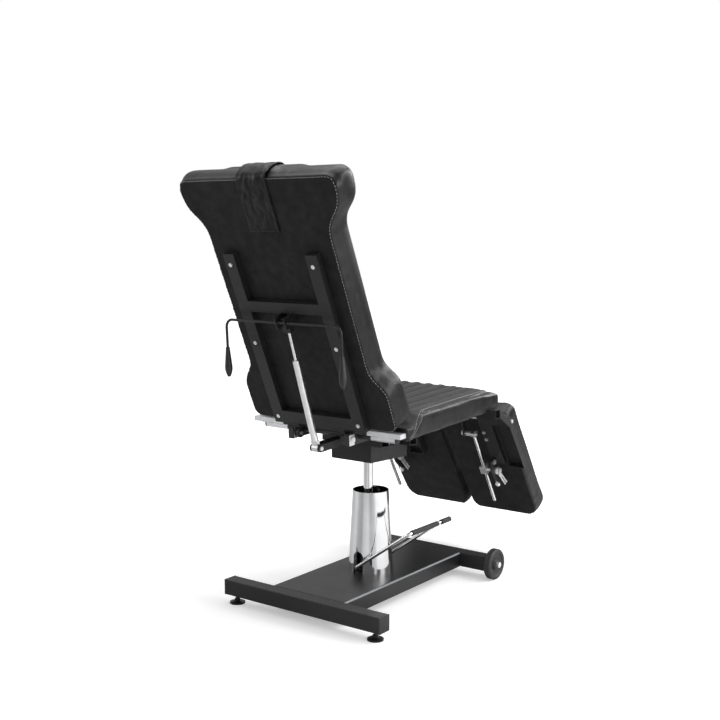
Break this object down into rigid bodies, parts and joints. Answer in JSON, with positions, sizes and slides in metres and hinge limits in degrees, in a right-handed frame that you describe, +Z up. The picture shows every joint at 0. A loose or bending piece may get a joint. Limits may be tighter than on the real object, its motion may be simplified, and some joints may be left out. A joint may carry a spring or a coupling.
{
  "type": "tattoo chair",
  "caption": "Black adjustable tattoo client chair with a reclining padded back, two separate leg rests, a swivelling pump column and a flat base with wheels.",
  "frame": {"origin": "on the floor, under the middle of the chair's box", "axes": "+Z up, -Y the way the sitter faces, +X the sitter's left"},
  "size_m": [0.638, 1.2932, 1.3965],
  "materials": {
    "black_plastic": "moulded black end caps and grips",
    "bright_steel": "zinc bright screws, bolts and pins",
    "chrome_steel": "polished chrome plate",
    "deck_steel": "black sheet, its folded edges polished bright",
    "foot_plastic": "hard black levelling feet",
    "frame_paint": "black powder coat, slightly textured, satin",
    "leather_black": "black faux leather with a fine grain and double stitching",
    "panel_vinyl": "dull black vinyl sheet, light stitching along its edge",
    "pedal_rubber": "ribbed black rubber sleeve",
    "pump_steel": "dark oiled pump barrel inside the cover",
    "spring_tube": "pale silver gas spring barrel, satin",
    "wheel_rubber": "solid black wheels, satin",
    "zinc_steel": "plain zinc plated steel"
  },
  "bodies": {
    "base": {"rear_crossbar": "frame_paint", "front_crossbar": "frame_paint", "crossbar_caps": "black_plastic", "deck_plate": "deck_steel", "wheel_bolts": "bright_steel", "pump_cover": "chrome_steel", "pump_cylinder": "pump_steel"},
    "left_foot": {"left_levelling_foot": "foot_plastic"},
    "right_foot": {"right_levelling_foot": "foot_plastic"},
    "left_wheel_body": {"left_wheel": "wheel_rubber"},
    "right_wheel_body": {"right_wheel": "wheel_rubber"},
    "pedal": {"foot_pedal": "chrome_steel", "pedal_sleeve": "pedal_rubber"},
    "piston": {"piston_rod": "chrome_steel"},
    "seat": {"swivel_housing": "frame_paint", "swivel_hub": "frame_paint", "cross_channels": "frame_paint", "housing_bolts": "bright_steel", "seat_rails": "zinc_steel", "seat_tube_caps": "black_plastic", "cross_tube": "zinc_steel", "seat_pan": "zinc_steel", "front_cross_bar": "frame_paint", "hinge_pins": "bright_steel", "spring_fork": "frame_paint", "leg_brackets": "frame_paint", "leg_pins": "bright_steel", "seat_cushion": "leather_black"},
    "backrest": {"back_rails": "frame_paint", "back_cross_tubes": "frame_paint", "hinge_ears": "frame_paint", "spring_bracket": "frame_paint", "back_screws": "bright_steel", "back_panel": "panel_vinyl", "back_cushion": "leather_black", "head_strap": "leather_black", "head_pillow": "leather_black"},
    "spring_body": {"gas_spring_body": "spring_tube"},
    "spring_rod": {"gas_spring_rod": "chrome_steel", "release_head": "frame_paint"},
    "release": {"release_bar": "frame_paint", "release_grips": "black_plastic"},
    "right_leg": {"right_leg_frame": "frame_paint", "right_angle_plate": "frame_paint", "right_leg_board": "panel_vinyl", "right_leg_cushion": "leather_black", "right_leg_bolts": "bright_steel"},
    "right_prop": {"right_prop_rod": "chrome_steel"},
    "right_clamp_body": {"right_clamp": "chrome_steel"},
    "right_ball_body": {"right_ball_lever": "chrome_steel"},
    "right_flat_body": {"right_flat_lever": "bright_steel"},
    "left_leg": {"left_leg_frame": "frame_paint", "left_angle_plate": "frame_paint", "left_leg_board": "panel_vinyl", "left_leg_cushion": "leather_black", "left_leg_bolts": "bright_steel"},
    "left_prop": {"left_prop_rod": "chrome_steel"},
    "left_clamp_body": {"left_clamp": "chrome_steel"},
    "left_ball_body": {"left_ball_lever": "chrome_steel"},
    "left_flat_body": {"left_flat_lever": "bright_steel"}
  },
  "joints": [
    {"name": "left_foot_turn", "type": "hinge", "parent": "base", "child": "left_foot", "pos_m": [0.277, 0.418, 0.0045], "axis": [0, 0, 1], "continuous": true},
    {"name": "right_foot_turn", "type": "hinge", "parent": "base", "child": "right_foot", "pos_m": [-0.277, 0.418, 0.0045], "axis": [0, 0, 1], "continuous": true},
    {"name": "left_wheel_spin", "type": "hinge", "parent": "base", "child": "left_wheel_body", "pos_m": [0.266, -0.2965, 0.053], "axis": [1, 0, 0], "continuous": true},
    {"name": "right_wheel_spin", "type": "hinge", "parent": "base", "child": "right_wheel_body", "pos_m": [-0.266, -0.2965, 0.053], "axis": [1, 0, 0], "continuous": true},
    {"name": "pedal_press", "type": "hinge", "parent": "base", "child": "pedal", "pos_m": [0, 0.0635, 0.1], "axis": [0, -1, 0], "range_deg": [0, 25], "stiffness_Nm_per_rad": 14, "springref_deg": -20.05},
    {"name": "column_lift", "type": "slide", "parent": "base", "child": "piston", "axis": [0, 0, 1], "range_m": [-0.1, 0.045]},
    {"name": "seat_swivel", "type": "hinge", "parent": "piston", "child": "seat", "pos_m": [0, 0.0775, 0.47], "axis": [0, 0, 1], "continuous": true},
    {"name": "backrest_recline", "type": "hinge", "parent": "seat", "child": "backrest", "pos_m": [0, 0.32051, 0.56781], "axis": [-1, 0, 0], "range_deg": [0, 66.5]},
    {"name": "spring_tilt", "type": "hinge", "parent": "seat", "child": "spring_body", "pos_m": [0, 0.34752, 0.53299], "axis": [-1, 0, 0], "range_deg": [-1, 66.65]},
    {"name": "spring_stroke", "type": "slide", "parent": "spring_body", "child": "spring_rod", "axis": [0, 0.3215, 0.9469], "range_m": [-0.05, 0.001]},
    {"name": "release_press", "type": "hinge", "parent": "backrest", "child": "release", "pos_m": [0, 0.50868, 0.93307], "axis": [-1, 0, 0], "range_deg": [0, 12], "stiffness_Nm_per_rad": 3, "springref_deg": -14.32},
    {"name": "right_leg_raise", "type": "hinge", "parent": "seat", "child": "right_leg", "pos_m": [-0.155, -0.31275, 0.55687], "axis": [-1, 0, 0], "range_deg": [0, 56.3]},
    {"name": "right_prop_swing", "type": "hinge", "parent": "seat", "child": "right_prop", "pos_m": [-0.155, -0.33661, 0.49225], "axis": [-1, 0, 0], "range_deg": [-1, 73.64]},
    {"name": "right_clamp_slide", "type": "slide", "parent": "right_prop", "child": "right_clamp_body", "axis": [0, -0.5001, -0.8659], "range_m": [-0.001, 0.042]},
    {"name": "right_ball_turn", "type": "hinge", "parent": "right_clamp_body", "child": "right_ball_body", "pos_m": [-0.186, -0.4163, 0.35428], "axis": [1, 0, 0], "range_deg": [0, 70]},
    {"name": "right_flat_turn", "type": "hinge", "parent": "right_clamp_body", "child": "right_flat_body", "pos_m": [-0.2, -0.4163, 0.35428], "axis": [1, 0, 0], "range_deg": [0, 70]},
    {"name": "left_leg_raise", "type": "hinge", "parent": "seat", "child": "left_leg", "pos_m": [0.265, -0.31275, 0.55687], "axis": [-1, 0, 0], "range_deg": [0, 56.3]},
    {"name": "left_prop_swing", "type": "hinge", "parent": "seat", "child": "left_prop", "pos_m": [0.265, -0.33661, 0.49225], "axis": [-1, 0, 0], "range_deg": [-1, 73.64]},
    {"name": "left_clamp_slide", "type": "slide", "parent": "left_prop", "child": "left_clamp_body", "axis": [0, -0.5001, -0.8659], "range_m": [-0.001, 0.042]},
    {"name": "left_ball_turn", "type": "hinge", "parent": "left_clamp_body", "child": "left_ball_body", "pos_m": [0.234, -0.4163, 0.35428], "axis": [1, 0, 0], "range_deg": [0, 70]},
    {"name": "left_flat_turn", "type": "hinge", "parent": "left_clamp_body", "child": "left_flat_body", "pos_m": [0.22, -0.4163, 0.35428], "axis": [1, 0, 0], "range_deg": [0, 70]}
  ],
  "couplings": [
    {"joint": "spring_tilt", "follows": "backrest_recline", "ratio": 0.98723},
    {"joint": "spring_stroke", "follows": "backrest_recline", "m_per_rad": -0.041545},
    {"joint": "right_prop_swing", "follows": "right_leg_raise", "ratio": 1.2902},
    {"joint": "right_clamp_slide", "follows": "right_leg_raise", "m_per_rad": 0.04125},
    {"joint": "left_prop_swing", "follows": "left_leg_raise", "ratio": 1.2902},
    {"joint": "left_clamp_slide", "follows": "left_leg_raise", "m_per_rad": 0.04125}
  ]
}
